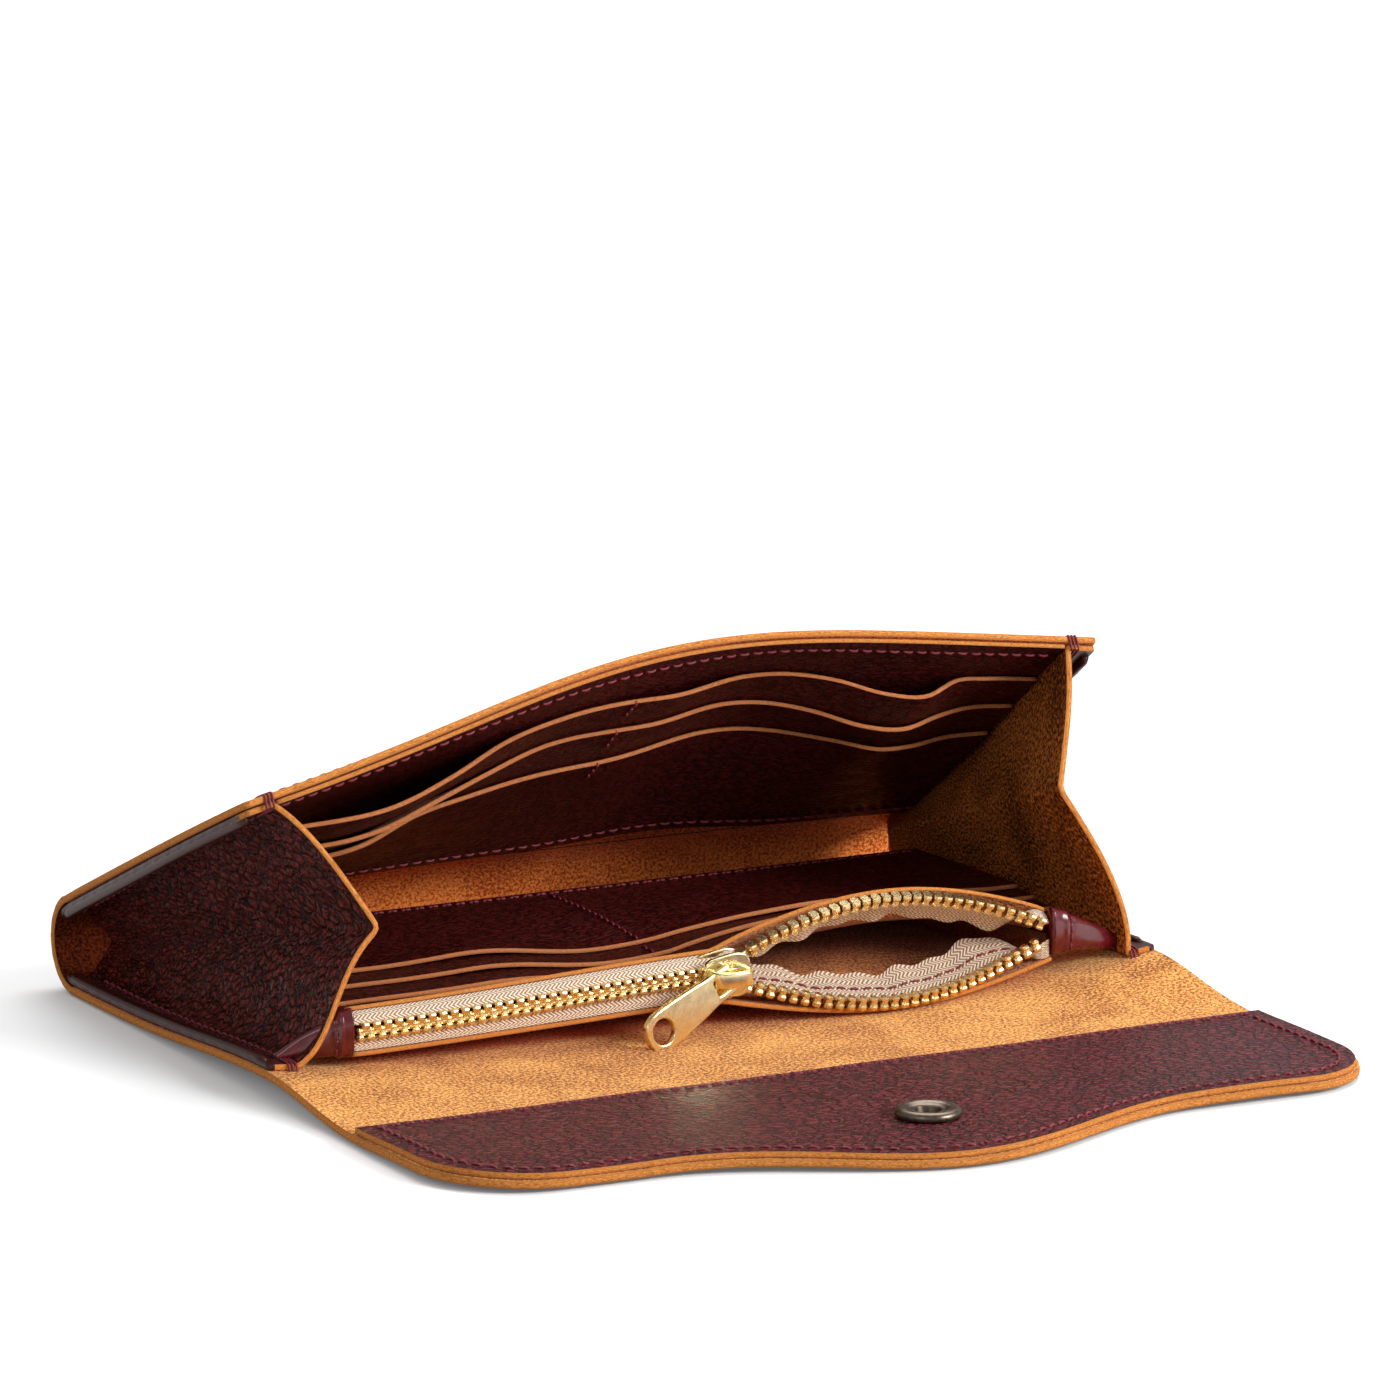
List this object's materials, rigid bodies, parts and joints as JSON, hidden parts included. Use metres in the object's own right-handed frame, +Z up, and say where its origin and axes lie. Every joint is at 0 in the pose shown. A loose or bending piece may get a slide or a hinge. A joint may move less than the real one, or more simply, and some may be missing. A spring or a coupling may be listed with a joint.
{
  "type": "long wallet",
  "caption": "Open long leather wallet with a snap flap, folding gussets, card slots on both sides and a half-open zip pouch at the mouth.",
  "frame": {"origin": "on the underside of the back panel, below the middle of the mouth", "axes": "+X along the mouth towards the end where the zip is open, +Y from the mouth back to the bottom fold, +Z up from the table"},
  "size_m": [0.2004, 0.2063, 0.0768],
  "materials": {
    "outer_leather": "pebbled burgundy grain outside, orange-tan suede inside, orange cut edges",
    "gusset_leather": "pebbled burgundy grain outside, brown suede inside, burnished flanges",
    "facing_leather": "soft sheen burgundy grain",
    "card_leather": "smooth burgundy grain with peach cut edges",
    "pouch_suede": "brown suede",
    "end_tab_leather": "glossy wine red",
    "zip_tape": "cream herringbone weave",
    "zip_brass": "polished brass",
    "slider_brass": "polished pale brass",
    "snap_metal": "dark antique brass"
  },
  "bodies": {
    "wallet_back": {"back_panel": "outer_leather", "bottom_fold": "outer_leather", "gusset_left_flange_lower": "gusset_leather", "gusset_right_flange_lower": "gusset_leather", "pouch_wall_lower": "pouch_suede", "pouch_wall_upper": "card_leather", "card_lining_lower": "card_leather", "card_pocket_lower_1": "card_leather", "card_pocket_lower_2": "card_leather", "card_pocket_lower_3": "card_leather", "zip_tape_lower": "zip_tape", "zip_tape_upper": "zip_tape", "zip_teeth_lower": "zip_brass", "zip_teeth_upper": "zip_brass", "zip_end_tab_left": "end_tab_leather", "zip_end_tab_right": "end_tab_leather"},
    "wallet_front": {"front_panel": "outer_leather", "card_lining_upper": "card_leather", "card_pocket_upper_1": "card_leather", "card_pocket_upper_2": "card_leather", "card_pocket_upper_3": "card_leather", "gusset_left_flange_upper": "gusset_leather", "gusset_right_flange_upper": "gusset_leather"},
    "front_stud": {"snap_stud": "snap_metal", "stud_post": "snap_metal"},
    "gusset_left_low_half": {"gusset_left_lower": "gusset_leather"},
    "gusset_left_high_half": {"gusset_left_upper": "gusset_leather"},
    "gusset_right_low_half": {"gusset_right_lower": "gusset_leather"},
    "gusset_right_high_half": {"gusset_right_upper": "gusset_leather"},
    "flap_band": {"flap_spine": "outer_leather"},
    "flap": {"flap_tip": "outer_leather", "flap_facing": "facing_leather", "snap_cap": "snap_metal", "snap_socket": "snap_metal", "snap_spring": "snap_metal"},
    "slider": {"zip_slider": "slider_brass"},
    "pull": {"pull_tab": "slider_brass"}
  },
  "joints": [
    {"name": "flap_fold", "type": "hinge", "parent": "wallet_back", "child": "flap_band", "pos_m": [0, -0.011, 0.0016], "axis": [-1, 0, 0], "range_deg": [0, 90], "deforming": ["flap_spine"]},
    {"name": "flap_tip_fold", "type": "hinge", "parent": "flap_band", "child": "flap", "pos_m": [0, -0.0398, 0.0016], "axis": [-1, 0, 0], "range_deg": [0, 90.5]},
    {"name": "mouth_close", "type": "hinge", "parent": "wallet_back", "child": "wallet_front", "pos_m": [0, 0.089, 0.0103], "axis": [1, 0, 0], "range_deg": [0, 27], "deforming": ["front_panel", "card_lining_upper", "card_pocket_upper_1", "card_pocket_upper_2", "card_pocket_upper_3", "gusset_left_flange_upper", "gusset_right_flange_upper", "pouch_wall_upper", "card_lining_lower", "card_pocket_lower_1", "card_pocket_lower_2", "card_pocket_lower_3"]},
    {"name": "stud_settle", "type": "hinge", "parent": "wallet_back", "child": "front_stud", "pos_m": [0, 0.08341, 0.01622], "axis": [1, 0, 0], "range_deg": [0, 37]},
    {"name": "gusset_left_lower_fold", "type": "hinge", "parent": "wallet_back", "child": "gusset_left_low_half", "pos_m": [-0.0935, 0.04, 0.00255], "axis": [0, 1, 0], "range_deg": [0, 49], "deforming": ["gusset_left_lower"]},
    {"name": "gusset_left_upper_fold", "type": "hinge", "parent": "wallet_front", "child": "gusset_left_high_half", "pos_m": [-0.0935, 0.08778, 0.01945], "axis": [0, -0.8958, 0.4445], "range_deg": [0, 41.5], "deforming": ["gusset_left_upper"]},
    {"name": "gusset_right_lower_fold", "type": "hinge", "parent": "wallet_back", "child": "gusset_right_low_half", "pos_m": [0.0935, 0.04, 0.00255], "axis": [0, -1, 0], "range_deg": [0, 37.5], "deforming": ["gusset_right_lower"]},
    {"name": "gusset_right_upper_fold", "type": "hinge", "parent": "wallet_front", "child": "gusset_right_high_half", "pos_m": [0.0935, 0.08883, 0.01953], "axis": [0, 0.8393, -0.5437], "range_deg": [0, 52], "deforming": ["gusset_right_upper"]},
    {"name": "zip_slide", "type": "slide", "parent": "wallet_back", "child": "slider", "axis": [1, 0, 0], "range_m": [0, 0.072], "deforming": ["zip_teeth_upper", "zip_teeth_lower", "zip_tape_upper", "zip_tape_lower"]},
    {"name": "pull_swing", "type": "hinge", "parent": "slider", "child": "pull", "pos_m": [0.002, -0.0059, 0.011], "axis": [0.2624, 0, -0.965], "range_deg": [-160, 10]}
  ],
  "couplings": [
    {"joint": "flap_tip_fold", "follows": "flap_fold", "ratio": 1},
    {"joint": "mouth_close", "follows": "flap_fold", "ratio": 0.29444},
    {"joint": "stud_settle", "follows": "flap_fold", "ratio": 0.407},
    {"joint": "gusset_left_lower_fold", "follows": "flap_fold", "ratio": 0.54222},
    {"joint": "gusset_left_upper_fold", "follows": "flap_fold", "ratio": 0.45556},
    {"joint": "gusset_right_lower_fold", "follows": "flap_fold", "ratio": 0.41222},
    {"joint": "gusset_right_upper_fold", "follows": "flap_fold", "ratio": 0.57333}
  ]
}
